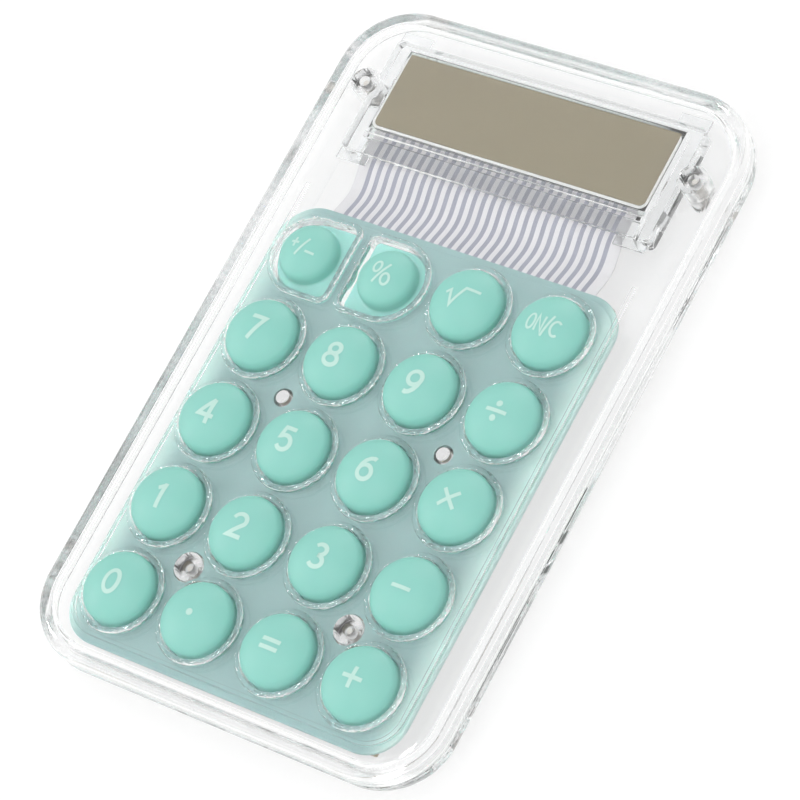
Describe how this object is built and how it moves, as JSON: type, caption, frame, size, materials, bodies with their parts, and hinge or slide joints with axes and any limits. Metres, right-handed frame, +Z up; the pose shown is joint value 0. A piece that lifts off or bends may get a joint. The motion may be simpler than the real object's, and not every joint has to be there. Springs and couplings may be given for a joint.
{
  "type": "pocket calculator",
  "caption": "Clear-cased electronic pocket calculator with mint silicone dome keys, a flat display and its board, ribbon and cell in sight.",
  "frame": {"origin": "middle of the flat back that the calculator rests on", "axes": "+Z up out of the keys, +Y from the keys toward the display, +X to the right when the keys are read"},
  "size_m": [0.0704, 0.1116, 0.0131],
  "materials": {
    "clear_case": "clear, polished",
    "clear_frame": "clear, polished",
    "silicone": "matte, slightly see-through",
    "board": "satin",
    "carbon": "matte",
    "resin": "satin",
    "ceramic": "satin",
    "resistor_black": "satin",
    "cell_steel": "satin",
    "contact_strip": "satin",
    "screw_steel": "satin",
    "polariser": "satin",
    "glass": "clear, polished",
    "reflector": "satin",
    "ribbon": "satin"
  },
  "bodies": {
    "case": {"front_cover": "clear_case", "back_cover": "clear_case", "battery_door": "clear_case", "display_holder": "clear_frame", "door_screw": "screw_steel", "case_screws": "screw_steel", "keypad_mat": "silicone", "circuit_board": "board", "contact_pads": "carbon", "chip_blob": "resin", "capacitor": "ceramic", "resistors": "resistor_black", "button_cell": "cell_steel", "cell_clip": "contact_strip", "cell_spring": "contact_strip", "display_polariser": "polariser", "display_upper_glass": "glass", "display_lower_glass": "glass", "display_reflector": "reflector", "ribbon_cable": "ribbon"},
    "button_sign": {"key_sign": "silicone"},
    "button_percent": {"key_percent": "silicone"},
    "button_root": {"key_root": "silicone"},
    "button_on_clear": {"key_on_clear": "silicone"},
    "button_7": {"key_7": "silicone"},
    "button_8": {"key_8": "silicone"},
    "button_9": {"key_9": "silicone"},
    "button_divide": {"key_divide": "silicone"},
    "button_4": {"key_4": "silicone"},
    "button_5": {"key_5": "silicone"},
    "button_6": {"key_6": "silicone"},
    "button_multiply": {"key_multiply": "silicone"},
    "button_1": {"key_1": "silicone"},
    "button_2": {"key_2": "silicone"},
    "button_3": {"key_3": "silicone"},
    "button_minus": {"key_minus": "silicone"},
    "button_0": {"key_0": "silicone"},
    "button_point": {"key_point": "silicone"},
    "button_equals": {"key_equals": "silicone"},
    "button_plus": {"key_plus": "silicone"}
  },
  "joints": [
    {"name": "press_sign", "type": "slide", "parent": "case", "child": "button_sign", "axis": [0, 0, -1], "range_m": [0, 0.0008], "stiffness_N_per_m": 520},
    {"name": "press_percent", "type": "slide", "parent": "case", "child": "button_percent", "axis": [0, 0, -1], "range_m": [0, 0.0008], "stiffness_N_per_m": 520},
    {"name": "press_root", "type": "slide", "parent": "case", "child": "button_root", "axis": [0, 0, -1], "range_m": [0, 0.0008], "stiffness_N_per_m": 600},
    {"name": "press_on_clear", "type": "slide", "parent": "case", "child": "button_on_clear", "axis": [0, 0, -1], "range_m": [0, 0.0008], "stiffness_N_per_m": 600},
    {"name": "press_7", "type": "slide", "parent": "case", "child": "button_7", "axis": [0, 0, -1], "range_m": [0, 0.0008], "stiffness_N_per_m": 600},
    {"name": "press_8", "type": "slide", "parent": "case", "child": "button_8", "axis": [0, 0, -1], "range_m": [0, 0.0008], "stiffness_N_per_m": 600},
    {"name": "press_9", "type": "slide", "parent": "case", "child": "button_9", "axis": [0, 0, -1], "range_m": [0, 0.0008], "stiffness_N_per_m": 600},
    {"name": "press_divide", "type": "slide", "parent": "case", "child": "button_divide", "axis": [0, 0, -1], "range_m": [0, 0.0008], "stiffness_N_per_m": 600},
    {"name": "press_4", "type": "slide", "parent": "case", "child": "button_4", "axis": [0, 0, -1], "range_m": [0, 0.0008], "stiffness_N_per_m": 600},
    {"name": "press_5", "type": "slide", "parent": "case", "child": "button_5", "axis": [0, 0, -1], "range_m": [0, 0.0008], "stiffness_N_per_m": 600},
    {"name": "press_6", "type": "slide", "parent": "case", "child": "button_6", "axis": [0, 0, -1], "range_m": [0, 0.0008], "stiffness_N_per_m": 600},
    {"name": "press_multiply", "type": "slide", "parent": "case", "child": "button_multiply", "axis": [0, 0, -1], "range_m": [0, 0.0008], "stiffness_N_per_m": 600},
    {"name": "press_1", "type": "slide", "parent": "case", "child": "button_1", "axis": [0, 0, -1], "range_m": [0, 0.0008], "stiffness_N_per_m": 600},
    {"name": "press_2", "type": "slide", "parent": "case", "child": "button_2", "axis": [0, 0, -1], "range_m": [0, 0.0008], "stiffness_N_per_m": 600},
    {"name": "press_3", "type": "slide", "parent": "case", "child": "button_3", "axis": [0, 0, -1], "range_m": [0, 0.0008], "stiffness_N_per_m": 600},
    {"name": "press_minus", "type": "slide", "parent": "case", "child": "button_minus", "axis": [0, 0, -1], "range_m": [0, 0.0008], "stiffness_N_per_m": 600},
    {"name": "press_0", "type": "slide", "parent": "case", "child": "button_0", "axis": [0, 0, -1], "range_m": [0, 0.0008], "stiffness_N_per_m": 600},
    {"name": "press_point", "type": "slide", "parent": "case", "child": "button_point", "axis": [0, 0, -1], "range_m": [0, 0.0008], "stiffness_N_per_m": 600},
    {"name": "press_equals", "type": "slide", "parent": "case", "child": "button_equals", "axis": [0, 0, -1], "range_m": [0, 0.0008], "stiffness_N_per_m": 600},
    {"name": "press_plus", "type": "slide", "parent": "case", "child": "button_plus", "axis": [0, 0, -1], "range_m": [0, 0.0008], "stiffness_N_per_m": 600}
  ]
}
